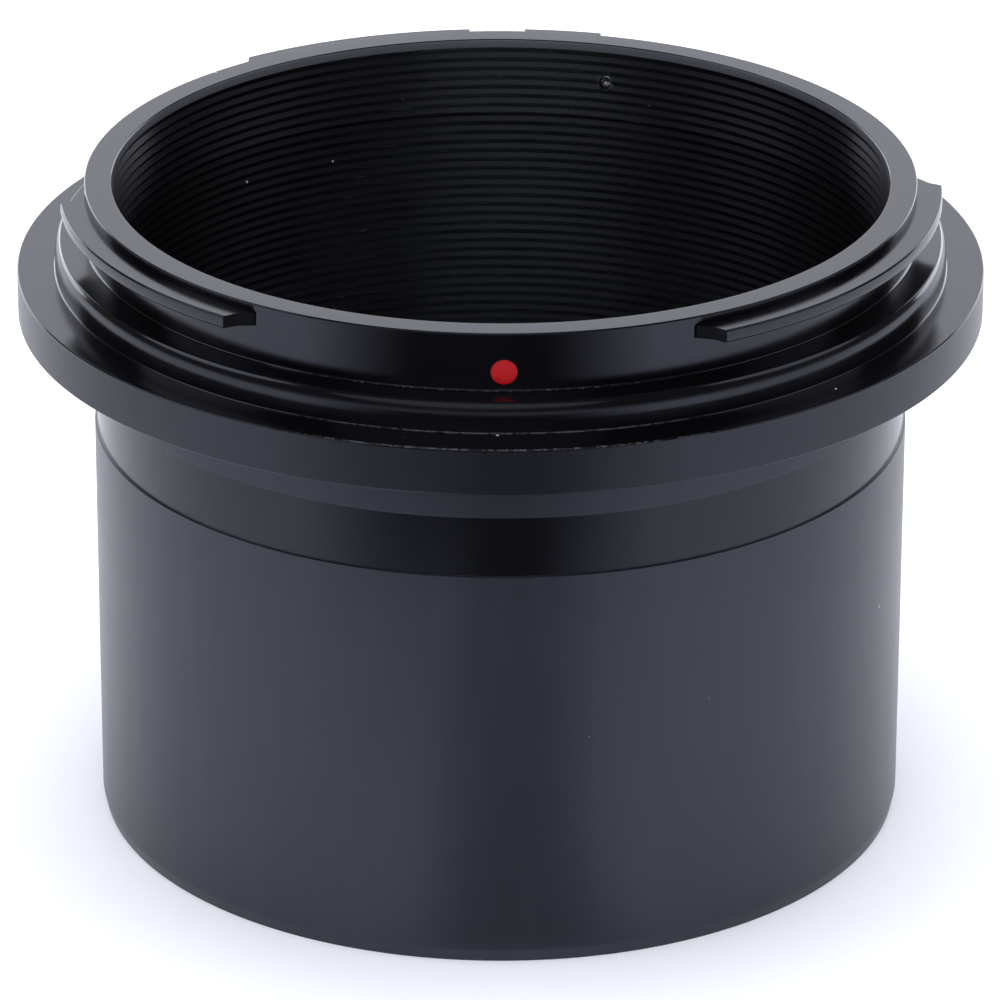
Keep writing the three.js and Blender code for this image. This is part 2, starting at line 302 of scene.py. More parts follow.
def laid_along_radius(name, outline, angle, z):
    """Turned piece from (radius, distance) points, laid along a radius of the mount at a height."""
    bm = turned_bmesh(outline, SMALL_SIDES)
    up = Vector((0, 0, 1))
    outward = polar(1.0, angle, 0).normalized()
    side = up.cross(outward)
    for vert in bm.verts:
        x, y, along = vert.co
        vert.co = outward * along + side * x + up * (y + z * MM)
    return piece_from(name, bm)


def drill(radius, inner, outer, angle, z):
    """Round cutter along a radius of the mount, between two distances from the axis."""
    outline = [(0.0, inner), (radius, inner), (radius, outer), (0.0, outer)]
    return laid_along_radius("drill", outline, angle, z)


def finish_piece(piece, body, material, node):
    """Gives a piece its material and the body it moves with, and hides the imported part of the node it
    stands for.
    """
    piece.data.materials.clear()
    piece.data.materials.append(material)
    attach(piece, body)
    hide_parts(node)


# ------------------------------------------------------------------ bayonet mount


def end_angle(radius, wall_angle, tip_angle, towards_lug):
    """Angle of a milled lug end at a radius: two flats that meet in a rounded inside corner."""
    share = min(max((radius - NECK_RADIUS) / (LUG_RADIUS - NECK_RADIUS), 0), 1)
    angle = wall_angle + (tip_angle - wall_angle) * share
    if wall_angle != tip_angle:
        from_corner = 2 * share - 1
        hollow = END_HOLLOW * (1 - math.hypot(from_corner, END_CORNER)) / (1 - END_CORNER)
        angle += towards_lug * math.degrees(max(hollow, 0) / radius)
    return angle


def lug_columns(top):
    """(radius, lower height, upper height) of a lug's section, from inside the neck wall outwards."""
    across = 24
    round_edge = 4
    plain = LUG_RADIUS - LUG_EDGE
    radii = [NECK_RADIUS - 0.5, NECK_RADIUS - 0.25]
    for k in range(across + 1):
        radii.append(NECK_RADIUS + (plain - NECK_RADIUS) * k / across)
    columns = [(radius, LUG_UNDER_Z, top) for radius in radii]
    for k in range(1, round_edge + 1):
        turn = math.pi / 2 * k / round_edge
        drop = LUG_EDGE * (1 - math.cos(turn))
        columns.append((plain + LUG_EDGE * math.sin(turn), LUG_UNDER_Z + drop, top - drop))
    return columns


def lug(name, wall, tip, top):
    """Solid lug; wall and tip are its two ends' angles at the neck and at full radius."""
    columns = lug_columns(top)
    steps = max(8, int((wall[1] - wall[0]) / LUG_STEP_ANGLE))
    bm = bmesh.new()
    rows = []
    for s in range(steps + 1):
        row = []
        for radius, low, high in columns:
            start = end_angle(radius, wall[0], tip[0], 1)
            end = end_angle(radius, wall[1], tip[1], -1)
            angle = start + (end - start) * (s / steps)
            row.append([bm.verts.new(polar(radius, angle, z)) for z in (low, high)])
        rows.append(row)
    for here, there in zip(rows, rows[1:]):
        for a, b, c, d in zip(here, here[1:], there[1:], there):
            bm.faces.new((a[1], b[1], c[1], d[1]))
            bm.faces.new((a[0], b[0], c[0], d[0]))
        for edge in (-1, 0):
            bm.faces.new((here[edge][0], here[edge][1], there[edge][1], there[edge][0]))
    for row in (rows[0], rows[-1]):
        for a, b in zip(row, row[1:]):
            bm.faces.new((a[0], b[0], b[1], a[1]))
    return piece_from(name, bm)


def step_shoulder():
    """The step ring's rounded upper edge, from its wall up and inwards to the ledge."""
    points = []
    height = LEDGE_Z - STEP_WALL_TOP_Z
    steps = 12
    for k in range(steps + 1):
        turn = math.pi / 2 * k / steps
        points.append(Vector((
            STEP_RADIUS - STEP_ROUNDING_WIDTH * (1 - math.cos(turn)),
            STEP_WALL_TOP_Z + height * math.sin(turn),
        )))
    return points


def mount_outline():
    """Section of the mount, from its socket out over the flange, up, and down the bore."""
    counterbore = SPIGOT_RADIUS + JOINT_GAP
    socket = BARREL_RADIUS + JOINT_GAP
    lower = rounded([
        (counterbore, FLANGE_UNDER_Z + SOCKET_DEPTH, 0.0),
        (socket, FLANGE_UNDER_Z + SOCKET_DEPTH, 0.0),
        (socket, FLANGE_UNDER_Z, 0.05),
        (FLANGE_RADIUS, FLANGE_UNDER_Z, 0.12),
        (FLANGE_RADIUS, FLANGE_TOP_Z, 0.10),
        (STEP_RADIUS, FLANGE_TOP_Z, 0.10),
        (STEP_RADIUS, STEP_WALL_TOP_Z, 0.0),
    ])[:-1]
    upper = rounded([
        (STEP_RADIUS - STEP_ROUNDING_WIDTH - 0.1, LEDGE_Z, 0.0),
        (NECK_RADIUS, LEDGE_Z, 0.14),
        (NECK_RADIUS, RIM_Z, 0.1),
        (BORE_RADIUS + LIP_FLARE, RIM_Z, 0.12),
        (BORE_RADIUS, RIDGE_TOP_Z, 0.0),
    ])[1:-1]
    bore = ridges(RIDGE_TOP_Z, MOUNT_RIDGES, RIDGE_PITCH, RIDGE_DEPTH, BORE_RADIUS)
    crest_z = bore[-1].y
    bore.append(Vector((BORE_RADIUS, crest_z - CREST_SHARE * RIDGE_PITCH)))
    bore.append(Vector((BORE_RADIUS + RIDGE_DEPTH, SPIGOT_TOP_Z + JOINT_GAP)))
    return [
        *lower, *step_shoulder(), *upper, *bore,
        Vector((counterbore, SPIGOT_TOP_Z + JOINT_GAP)),
    ]


def bayonet_mount(materials):
    piece = piece_from("mount_shell", turned_bmesh(mount_outline()))
    for i, one in enumerate(LUGS):
        apply_boolean(piece, lug("lug_%d" % i, **one), "UNION")
    recess = drill(RECESS_RADIUS, NECK_RADIUS - RECESS_DEPTH, NECK_RADIUS + 1, DOT_ANGLE, DOT_Z)
    apply_boolean(piece, recess, "DIFFERENCE")
    hole = drill(PIN_HOLE_RADIUS, BORE_RADIUS - 2, NECK_RADIUS + 2, PIN_ANGLE, PIN_Z)
    apply_boolean(piece, hole, "DIFFERENCE")
    refresh_edges(piece)
    crisp_normals(piece)
    finish_piece(piece, "nosepiece", materials["gloss"], "bayonet_mount")


# ------------------------------------------------------------------ barrel and small pieces


def barrel_outline():
    """Section of the barrel, from the nose up its outside and down its ridged bore and thread."""
    groove = BARREL_RADIUS - UNDERCUT_DEPTH
    shoulder = FLANGE_UNDER_Z + SOCKET_DEPTH - JOINT_GAP
    outside = rounded([
        (BORE_RADIUS + THREAD_DEPTH + 0.1, 0.0, 0.0),
        (BARREL_RADIUS - NOSE_BEVEL, 0.0, 0.05),
        (BARREL_RADIUS, NOSE_BEVEL_Z, 0.4),
        (BARREL_RADIUS, UNDERCUT_LOW_Z - UNDERCUT_RUNOUT, 0.04),
        (groove, UNDERCUT_LOW_Z, 0.05),
        (groove, UNDERCUT_HIGH_Z, 0.05),
        (BARREL_RADIUS, UNDERCUT_HIGH_Z + UNDERCUT_RUNOUT, 0.04),
        (BARREL_RADIUS, shoulder, 0.05),
        (SPIGOT_RADIUS, shoulder, 0.0),
        (SPIGOT_RADIUS, SPIGOT_TOP_Z, 0.05),
        (BORE_RADIUS + RIDGE_DEPTH, SPIGOT_TOP_Z, 0.0),
    ])
    first = RIDGE_TOP_Z - (MOUNT_RIDGES + 1) * RIDGE_PITCH
    root_end = first + (1 - ROOT_LOW_SHARE) * RIDGE_PITCH
    outside.append(Vector((BORE_RADIUS + RIDGE_DEPTH, root_end)))
    count = int((first - THREAD_TOP_Z) / RIDGE_PITCH)
    bore = ridges(first, count, RIDGE_PITCH, RIDGE_DEPTH, BORE_RADIUS)
    turns = int(THREAD_TOP_Z / THREAD_PITCH)
    thread = ridges(THREAD_TOP_Z, turns, THREAD_PITCH, THREAD_DEPTH, BORE_RADIUS)
    return [*outside, *bore, *thread]


def nosepiece_barrel(materials):
    piece = piece_from("barrel_tube", turned_bmesh(barrel_outline()))
    crisp_normals(piece)
    finish_piece(piece, "nosepiece", materials["satin"], "nosepiece_barrel")


def index_dot(materials):
    inner = PAINT_SURFACE - PAINT_THICKNESS
    outline = [(0.0, inner), (DOT_RADIUS, inner), (DOT_RADIUS, PAINT_SURFACE)]
    steps = 5
    for k in range(1, steps):
        turn = math.pi / 2 * k / steps
        outline.append((DOT_RADIUS * math.cos(turn), PAINT_SURFACE + PAINT_CROWN * math.sin(turn)))
    outline.append((0.0, PAINT_SURFACE + PAINT_CROWN))
    piece = laid_along_radius("dot_paint", outline, DOT_ANGLE, DOT_Z)
    finish_piece(piece, "nosepiece", materials["paint"], "index_dot")


def stop_pin(materials):
    inner_bevel = 0.06
    outer_bevel = 0.12
    outline = [
        *[(radius, PIN_INNER + depth) for radius, depth in PIN_DIMPLE],
        (PIN_RADIUS - inner_bevel, PIN_INNER),
        (PIN_RADIUS, PIN_INNER + inner_bevel),
        (PIN_RADIUS, PIN_OUTER - outer_bevel),
        (PIN_RADIUS - outer_bevel, PIN_OUTER),
        (0.0, PIN_OUTER),
    ]
    piece = laid_along_radius("pin_body", outline, PIN_ANGLE, PIN_Z)
    finish_piece(piece, "nosepiece", materials["steel"], "stop_pin")


# ------------------------------------------------------------------ lens cell


def cut_slots(piece, face):
    """Two spanner slots across a ring's lower face."""
    bm = bmesh.new()
    bmesh.ops.create_cube(bm, size=1.0)
    length, width, height = SLOT_BAR
    for vert in bm.verts:
        vert.co = Vector((vert.co.x * length, vert.co.y * width, vert.co.z * height + face)) * MM
    apply_boolean(piece, piece_from("bar", bm), "DIFFERENCE")
    refresh_edges(piece)


def cell_housing(materials):
    seat = CELL_HIGH.z - SEAT_THICKNESS
    outline = rounded([
        (POCKET_RADIUS, CELL_LOW.z, 0.06),
        (CELL_RADIUS, CELL_LOW.z, 0.15),
        (CELL_RADIUS, CELL_HIGH.z, 0.15),
        (APERTURE_RADIUS + APERTURE_BEVEL, CELL_HIGH.z, 0.05),
        (APERTURE_RADIUS, CELL_HIGH.z - APERTURE_BEVEL, 0.05),
        (APERTURE_RADIUS, seat, 0.0),
        (POCKET_RADIUS, seat, 0.0),
    ])
    piece = piece_from("cell_barrel", turned_bmesh(outline, CELL_SIDES))
    cut_slots(piece, CELL_LOW.z)
    crisp_normals(piece)
    finish_piece(piece, "cell", materials["matt"], "cell_housing")


def retaining_ring(materials):
    outline = rounded([
        (RETAINER_BORE_RADIUS, RETAINER_LOW.z, 0.1),
        (RETAINER_HIGH.x, RETAINER_LOW.z, 0.1),
        (RETAINER_HIGH.x, RETAINER_HIGH.z, 0.05),
        (RETAINER_BORE_RADIUS, RETAINER_HIGH.z, 0.05),
    ])
    piece = piece_from("retainer", turned_bmesh(outline, CELL_SIDES))
    cut_slots(piece, RETAINER_LOW.z)
    crisp_normals(piece)
    finish_piece(piece, "cell", materials["matt"], "retaining_ring")


def cell_seal(materials):
    half = (SEAL_HIGH.z - SEAL_LOW.z) / 2
    middle = SEAL_HIGH.x - half
    outline = []
    steps = 16
    for k in range(steps):
        turn = 2 * math.pi * k / steps
        outline.append((middle + half * math.cos(turn), SEAL_LOW.z + half + half * math.sin(turn)))
    piece = piece_from("o_ring", turned_bmesh(outline, OPTIC_SIDES))
    finish_piece(piece, "optics", materials["rubber"], "cell_seal")


def spacer_ring(materials):
    outline = rounded([
        (SPACER_BORE_RADIUS, SPACER_LOW.z, 0.05),
        (SPACER_HIGH.x, SPACER_LOW.z, 0.05),
        (SPACER_HIGH.x, SPACER_HIGH.z, 0.05),
        (SPACER_BORE_RADIUS, SPACER_HIGH.z, 0.05),
    ])
    piece = piece_from("spacer", turned_bmesh(outline, OPTIC_SIDES))
    finish_piece(piece, "optics", materials["matt"], "lens_spacer")


def glass_surface(radius, edge, curve):
    """Section of a spherical face, from the axis out to its edge's height."""
    size = abs(curve)
    steps = 24
    points = []
    for k in range(steps + 1):
        away = radius * k / steps
        drop = math.sqrt(size ** 2 - away ** 2) - math.sqrt(size ** 2 - radius ** 2)
        points.append((away, edge + math.copysign(drop, curve)))
    return points


def lens(name, node, rim_radius, edges, curves, material):
    """One lens; edges are the heights of its faces at the rim, lower and upper, and curves their radii."""
    inside_bevel = rim_radius - LENS_BEVEL
    outline = [
        *glass_surface(inside_bevel, edges[0], curves[0]),
        (rim_radius, edges[0] + LENS_BEVEL),
        (rim_radius, edges[1] - LENS_BEVEL),
        *reversed(glass_surface(inside_bevel, edges[1], curves[1])),
    ]
    piece = piece_from(name, turned_bmesh(outline, OPTIC_SIDES), LENS_SHARP_ANGLE)
    finish_piece(piece, "optics", material, node)


def lenses(materials):
    crown_edges = (CROWN_LOW.z, CROWN_HIGH.z)
    flint_edges = (FLINT_HIGH.z - FLINT_EDGE, FLINT_HIGH.z)
    glass = materials["glass"]
    lens("crown_element", "crown_lens", CROWN_HIGH.x, crown_edges, CROWN_CURVES, glass)
    lens("flint_element", "flint_lens", FLINT_HIGH.x, flint_edges, FLINT_CURVES, glass)


# ------------------------------------------------------------------ materials


class Graph:
    """Short calls for building one material's nodes."""

    def __init__(self, name):
        self.material = bpy.data.materials.new(name)
        self.material.use_nodes = True
        self.tree = self.material.node_tree
        self.shader = self.tree.nodes["Principled BSDF"]

    def add(self, kind, **values):
        node = self.tree.nodes.new(kind)
        for key, value in values.items():
            setattr(node, key, value)
        return node

    def link(self, source, target):
        self.tree.links.new(source, target)

    def put(self, socket, value):
        if isinstance(value, bpy.types.NodeSocket):
            self.link(value, socket)
        elif value is not None:
            socket.default_value = value

    def math(self, operation, a, b=None, clamp=False):
        node = self.add("ShaderNodeMath", operation=operation, use_clamp=clamp)
        self.put(node.inputs[0], a)
        self.put(node.inputs[1], b)
        return node.outputs[0]

    def times(self, a, b):
        return self.math("MULTIPLY", a, b)

    def flipped(self, value, clamp=False):
        """A mask turned round: 1 where it was 0."""
        return self.math("SUBTRACT", 1.0, value, clamp)

    def hypotenuse(self, a, b):
        squares = self.math("ADD", self.times(a, a), self.times(b, b))
        return self.math("SQRT", squares)

    def between(self, value, low, high):
        """0 at low, 1 at high, smooth between."""
        node = self.add("ShaderNodeMapRange", interpolation_type="SMOOTHSTEP")
        self.put(node.inputs["Value"], value)
        node.inputs["From Min"].default_value = low
        node.inputs["From Max"].default_value = high
        return node.outputs["Result"]

    def scale(self, value, low, high):
        """0..1 turned into low..high."""
        node = self.add("ShaderNodeMapRange")
        self.put(node.inputs["Value"], value)
        node.inputs["To Min"].default_value = low
        node.inputs["To Max"].default_value = high
        return node.outputs["Result"]

    def mix(self, factor, a, b):
        """Colour a where the factor is 0, b where it is 1."""
        node = self.add("ShaderNodeMix", data_type="RGBA")
        self.put(node.inputs[0], factor)
        self.put(node.inputs[6], a)
        self.put(node.inputs[7], b)
        return node.outputs[2]

    def mix_value(self, factor, a, b):
        node = self.add("ShaderNodeMix", data_type="FLOAT")
        self.put(node.inputs[0], factor)
        self.put(node.inputs[2], a)
        self.put(node.inputs[3], b)
        return node.outputs[0]

    def noise(self, vector, scale, detail=2.0, rough=0.5):
        node = self.add("ShaderNodeTexNoise")
        self.put(node.inputs["Vector"], vector)
        node.inputs["Scale"].default_value = scale
        node.inputs["Detail"].default_value = detail
        node.inputs["Roughness"].default_value = rough
        return node.outputs["Fac"]

    def vector(self, x, y, z):
        node = self.add("ShaderNodeCombineXYZ")
        self.put(node.inputs[0], x)
        self.put(node.inputs[1], y)
        self.put(node.inputs[2], z)
        return node.outputs[0]

    def bump(self, height, strength, distance, normal=None):
        node = self.add("ShaderNodeBump")
        self.put(node.inputs["Height"], height)
        node.inputs["Strength"].default_value = strength
        node.inputs["Distance"].default_value = distance
        if normal is not None:
            self.link(normal, node.inputs["Normal"])
        return node.outputs["Normal"]

    def places(self):
        """Sets the place in mm, and its height, radius and angle in radians."""
        coordinates = self.add("ShaderNodeTexCoord")
        scaled = self.add("ShaderNodeVectorMath", operation="SCALE")
        self.link(coordinates.outputs["Object"], scaled.inputs[0])
        scaled.inputs["Scale"].default_value = 1 / MM
        parts = self.add("ShaderNodeSeparateXYZ")
        self.link(scaled.outputs[0], parts.inputs[0])
        x, y, z = parts.outputs
        self.place = scaled.outputs[0]
        self.z = z
        self.radius = self.hypotenuse(x, y)
        self.angle = self.math("ARCTAN2", x, self.times(y, -1.0))

    def ring_mask(self, radius, z, width):
        """1 on a circle of that radius and height, falling to 0 within width."""
        across = self.math("SUBTRACT", self.radius, radius)
        above = self.math("SUBTRACT", self.z, z)
        return self.flipped(self.between(self.hypotenuse(across, above), 0.0, width), clamp=True)

    def finish(self, color, roughness, normal=None, **plain):
        """Connects the shader; plain values are the same all over and go on its own sockets."""
        self.put(self.shader.inputs["Base Color"], color)
        self.put(self.shader.inputs["Roughness"], roughness)
        if normal is not None:
            self.link(normal, self.shader.inputs["Normal"])
        for key, value in plain.items():
            self.shader.inputs[key.replace("_", " ")].default_value = value
        return self.material


# base colours; a pair is the two ends of a cloudy variation
MOUNT_BLACKS = ((0.0007, 0.0007, 0.0009, 1), (0.0016, 0.0016, 0.0021, 1))
FLANGE_SIDE_BLACK = (0.0045, 0.0047, 0.0066, 1)
MOUNT_BORE_BLACK = (0.0036, 0.0035, 0.0048, 1)
# painted sheen: pale grey given to the bore's smooth lip in place of its reflection
LIP_PAINTED_SHEEN = (0.0700, 0.0710, 0.0820, 1)
BARREL_BLACKS = ((0.0168, 0.0175, 0.0235, 1), (0.0245, 0.0256, 0.0335, 1))
BAND_BLACK = (0.0024, 0.0025, 0.0034, 1)
BARREL_BORE_BLACK = (0.0030, 0.0029, 0.0036, 1)
# painted highlight: pale colour of the glints along the mount's edges on the dot's side
MOUNT_PAINTED_GLINT = (0.10, 0.10, 0.11, 1)
BARREL_WORN = (0.16, 0.16, 0.17, 1)
MOUNT_SPECK = (0.45, 0.45, 0.46, 1)
BARREL_SPECK = (0.40, 0.40, 0.42, 1)
MATT_BLACKS = ((0.008, 0.008, 0.009, 1), (0.020, 0.020, 0.021, 1))
PAINT_REDS = ((0.36, 0.003, 0.005, 1), (0.46, 0.006, 0.009, 1))
STEEL_GREYS = ((0.42, 0.42, 0.44, 1), (0.62, 0.62, 0.64, 1))
RUBBER_BLACKS = ((0.010, 0.010, 0.011, 1), (0.022, 0.022, 0.023, 1))
GLASS_TINTS = ((0.90, 0.97, 0.93, 1), (0.96, 0.99, 0.97, 1))
COATING_GREEN = (0.35, 0.75, 0.50, 1.0)
SHEEN_OF_DYE = (0.80, 0.83, 1.0, 1.0)     # black dye leaves the reflection slightly blue

GLOSS_IOR = 1.54
SATIN_IOR = 1.46
GLOSS_GRAIN = 0.75        # the turning marks spread a reflection across themselves, not along
SATIN_GRAIN = 0.65
GRAIN_ROUND_AXIS = 0.25   # turns the grain a quarter, so that it runs round the axis
BORE_ROUGHNESS = 0.28
SPECK_ROUGHNESS = 0.8
MILLED_ROUGHNESS = 0.85
WEAR_AND_GLINT_SHARE = 0.5          # how much of the edge colour shows through: wear on the barrel's nose, painted highlight on the mount


def dust(graph, amount):
    """Sparse pale specks lying on the surface; the amount is the share of cells that hold one."""
    cells = graph.add("ShaderNodeTexVoronoi", feature="F1")
    graph.put(cells.inputs["Vector"], graph.place)
    cells.inputs["Scale"].default_value = 0.55
    cells.inputs["Randomness"].default_value = 1.0
    draws = graph.add("ShaderNodeSeparateColor")
    graph.link(cells.outputs["Color"], draws.inputs[0])
    chosen = graph.math("GREATER_THAN", draws.outputs[0], 1.0 - amount)
    size = graph.scale(draws.outputs[1], 0.02, 0.065)
    near = graph.math("LESS_THAN", cells.outputs["Distance"], size)
    return graph.times(chosen, near)


def turning_lines(graph):
    """Fine tool marks that run round the axis on walls and on flat faces alike."""
    along = graph.math("ADD", graph.radius, graph.times(graph.z, 1.37))
    fine = graph.noise(graph.vector(along, 0.0, 0.0), 9.0, 3.0, 0.7)
    drift = graph.times(graph.angle, 0.35)
    coarse = graph.noise(graph.vector(graph.times(along, 0.35), drift, 0.0), 5.0, 2.0)
    return graph.math("ADD", graph.times(fine, 0.7), graph.times(coarse, 0.3))


def edge_wear_and_glints(graph, rings):
    """Bright broken lines along edges: worn-off black on the barrel's nose, painted highlights on the
    mount's edges.

    A ring is (radius, height, width, start); the higher the start, the fewer the bright stretches.
    """
    total = None
    broken = graph.noise(graph.place, 2.6, 4.0, 0.75)
    for radius, z, width, start in rings:
        line = graph.ring_mask(radius, z, width)
        kept = graph.times(line, graph.between(broken, start, start + 0.16))
        total = kept if total is None else graph.math("MAXIMUM", total, kept)
    return total


def milled_ends(graph):
    """1 on the lugs' upright end faces, which an end mill left rough."""
    facing = graph.add("ShaderNodeSeparateXYZ")
    graph.link(graph.add("ShaderNodeNewGeometry").outputs["True Normal"], facing.inputs[0])
    upright = graph.math("LESS_THAN", graph.math("ABSOLUTE", facing.outputs[2]), 0.5)
    beyond_neck = graph.math("GREATER_THAN", graph.radius, NECK_RADIUS + 0.1)
    within_lug = graph.math("LESS_THAN", graph.radius, LUG_RADIUS - 0.03)
    above_seat = graph.math("GREATER_THAN", graph.z, LUG_UNDER_Z - 0.05)
    return graph.times(graph.times(upright, beyond_neck), graph.times(within_lug, above_seat))


def flange_side(graph):
    """1 on the flange's outer wall."""
    outermost = graph.between(graph.radius, FLANGE_RADIUS - 0.12, FLANGE_RADIUS - 0.04)
    above = graph.between(graph.z, FLANGE_TOP_Z - 0.2, FLANGE_TOP_Z - 0.1)
    return graph.times(outermost, graph.flipped(above))


def mount_bore(graph):
    """1 in the mount's bore, below its rim."""
    inner = graph.flipped(graph.between(graph.radius, BORE_RADIUS + 0.3, BORE_RADIUS + 0.4))
    return graph.times(inner, graph.math("LESS_THAN", graph.z, RIM_Z - 0.05))


def mount_painted_glints(graph):
    """Painted highlights along edges on the dot's side, fading out to the left and right of it."""
    wear_and_glints = edge_wear_and_glints(graph, [
        (FLANGE_RADIUS - 0.04, FLANGE_TOP_Z - 0.04, 0.10, 0.44),
        (STEP_RADIUS + 0.04, FLANGE_TOP_Z + 0.04, 0.08, 0.40),
        (NECK_RADIUS + 0.04, LEDGE_Z + 0.04, 0.08, 0.50),
    ])
    off_front = graph.math("ABSOLUTE", graph.angle)
    return graph.times(wear_and_glints, graph.between(off_front, math.radians(34), math.radians(12)))


def gloss_material():
    """Glossy black anodising of the mount, satin on the flange's side, duller in the bore, with painted
    sheen on the bore's lip and painted highlights along the edges on the dot's side.
    """
    graph = Graph("anodised_gloss")
    graph.places()
    lines = turning_lines(graph)
    cloud = graph.noise(graph.place, 0.12, 3.0)
    side = flange_side(graph)
    bore = mount_bore(graph)
    # painted sheen: the lip band at the top of the bore, which gets a pale grey in place of its reflection
    lip_painted_sheen = graph.times(bore, graph.math("GREATER_THAN", graph.z, RIDGE_TOP_Z + 0.02))
    specks = dust(graph, 0.10)

    color = graph.mix(cloud, *MOUNT_BLACKS)
    color = graph.mix(side, color, FLANGE_SIDE_BLACK)
    color = graph.mix(bore, color, MOUNT_BORE_BLACK)
    color = graph.mix(lip_painted_sheen, color, LIP_PAINTED_SHEEN)
    # painted highlights: pale broken lines along the flange, step and neck edges facing the dot
    color = graph.mix(graph.times(mount_painted_glints(graph), WEAR_AND_GLINT_SHARE), color, MOUNT_PAINTED_GLINT)
    color = graph.mix(graph.times(specks, 0.75), color, MOUNT_SPECK)

    rough = graph.scale(graph.times(lines, cloud), 0.12, 0.26)
    rough = graph.mix_value(side, rough, graph.scale(lines, 0.33, 0.43))
    rough = graph.mix_value(bore, rough, BORE_ROUGHNESS)
    rough = graph.mix_value(specks, rough, SPECK_ROUGHNESS)
    rough = graph.mix_value(milled_ends(graph), rough, MILLED_ROUGHNESS)

    normal = graph.bump(lines, 0.35, 0.000010)
    normal = graph.bump(graph.noise(graph.place, 1.1, 3.0), 0.05, 0.00002, normal)
    return graph.finish(color, rough, normal, IOR=GLOSS_IOR, Specular_Tint=SHEEN_OF_DYE,
                        Anisotropic=GLOSS_GRAIN, Anisotropic_Rotation=GRAIN_ROUND_AXIS)


def undercut_band(graph):
    """1 in the barrel's shallow undercut."""
    below_top = graph.flipped(graph.between(graph.z, UNDERCUT_HIGH_Z - 0.03, UNDERCUT_HIGH_Z))
    return graph.times(graph.between(graph.z, UNDERCUT_LOW_Z, UNDERCUT_LOW_Z + 0.03), below_top)


def satin_material():
    """Satin black anodising of the barrel, glossier and darker in the undercut band and the bore."""
    graph = Graph("anodised_satin")
    graph.places()
    lines = turning_lines(graph)
    mottle = graph.noise(graph.place, 0.16, 4.0, 0.6)
    round_and_along = graph.vector(graph.times(graph.angle, 22.0), graph.times(graph.z, 0.06), 0.0)
    streaks = graph.noise(round_and_along, 1.0, 3.0)
    in_band = undercut_band(graph)
    bore = graph.flipped(graph.between(graph.radius, BORE_RADIUS + 0.4, BORE_RADIUS + 0.5))
    wear_and_glints = edge_wear_and_glints(graph, [(BARREL_RADIUS - 0.15, 0.04, 0.16, 0.55)])
    specks = dust(graph, 0.05)

    tone = graph.scale(graph.times(mottle, streaks), 0.0, 1.6)
    color = graph.mix(tone, *BARREL_BLACKS)
    color = graph.mix(in_band, color, BAND_BLACK)
    color = graph.mix(bore, color, BARREL_BORE_BLACK)
    color = graph.mix(graph.times(wear_and_glints, WEAR_AND_GLINT_SHARE), color, BARREL_WORN)
    color = graph.mix(graph.times(specks, 0.7), color, BARREL_SPECK)

    uneven = graph.math("ADD", graph.times(lines, 0.5), graph.times(mottle, 0.5))
    rough = graph.scale(uneven, 0.33, 0.45)
    rough = graph.mix_value(in_band, rough, graph.scale(lines, 0.18, 0.26))
    rough = graph.mix_value(bore, rough, BORE_ROUGHNESS)

    normal = graph.bump(lines, 0.12, 0.000008)
    normal = graph.bump(graph.noise(graph.place, 2.2, 3.0), 0.06, 0.00002, normal)
    return graph.finish(color, rough, normal, IOR=SATIN_IOR, Specular_Tint=SHEEN_OF_DYE,
                        Anisotropic=SATIN_GRAIN, Anisotropic_Rotation=GRAIN_ROUND_AXIS)


def matt_material():
    """Blackened, fine-blasted finish inside the lens cell."""
    graph = Graph("anodised_matt")
    graph.places()
    grain = graph.noise(graph.place, 6.0, 3.0, 0.6)
    color = graph.mix(grain, *MATT_BLACKS)
    normal = graph.bump(grain, 0.25, 0.00003)
    return graph.finish(color, graph.scale(grain, 0.42, 0.62), normal, IOR=1.5)


def paint_material():
    """Red enamel filled into the dot's recess."""
    graph = Graph("index_paint")
    graph.places()
    flow = graph.noise(graph.place, 2.5, 2.0)
    color = graph.mix(flow, *PAINT_REDS)
    normal = graph.bump(flow, 0.2, 0.00004)
    return graph.finish(color, graph.scale(flow, 0.30, 0.45), normal, IOR=1.3)


def steel_material():
    """Ground steel of the stop pin."""
    graph = Graph("pin_steel")
    graph.places()
    lines = graph.noise(graph.place, 8.0, 3.0)
    color = graph.mix(lines, *STEEL_GREYS)
    normal = graph.bump(lines, 0.1, 0.00001)
    return graph.finish(color, graph.scale(lines, 0.18, 0.34), normal, Metallic=1.0)


def rubber_material():
    """Dull black rubber of the O-ring."""
    graph = Graph("seal_rubber")
    graph.places()
    grain = graph.noise(graph.place, 5.0, 3.0)
    color = graph.mix(grain, *RUBBER_BLACKS)
    normal = graph.bump(grain, 0.3, 0.00004)
    return graph.finish(color, graph.scale(grain, 0.55, 0.75), normal, IOR=1.5)


def glass_material():
    """Clear glass with a faint green antireflection coating."""
    graph = Graph("coated_glass")
    graph.places()
    film = graph.noise(graph.place, 0.08, 2.0)
    color = graph.mix(film, *GLASS_TINTS)
    return graph.finish(color, graph.scale(film, 0.0, 0.02), IOR=1.55, Transmission_Weight=1.0,
                        Specular_Tint=COATING_GREEN)


# ------------------------------------------------------------------ studio


FLOOR_WHITES = ((0.87, 0.87, 0.89, 1), (0.89, 0.89, 0.91, 1))
FLOOR_HALF_SIZE = 3.0
LIGHT_COLOR = (0.91, 0.93, 1.0)
WORLD_STRENGTH = 0.1

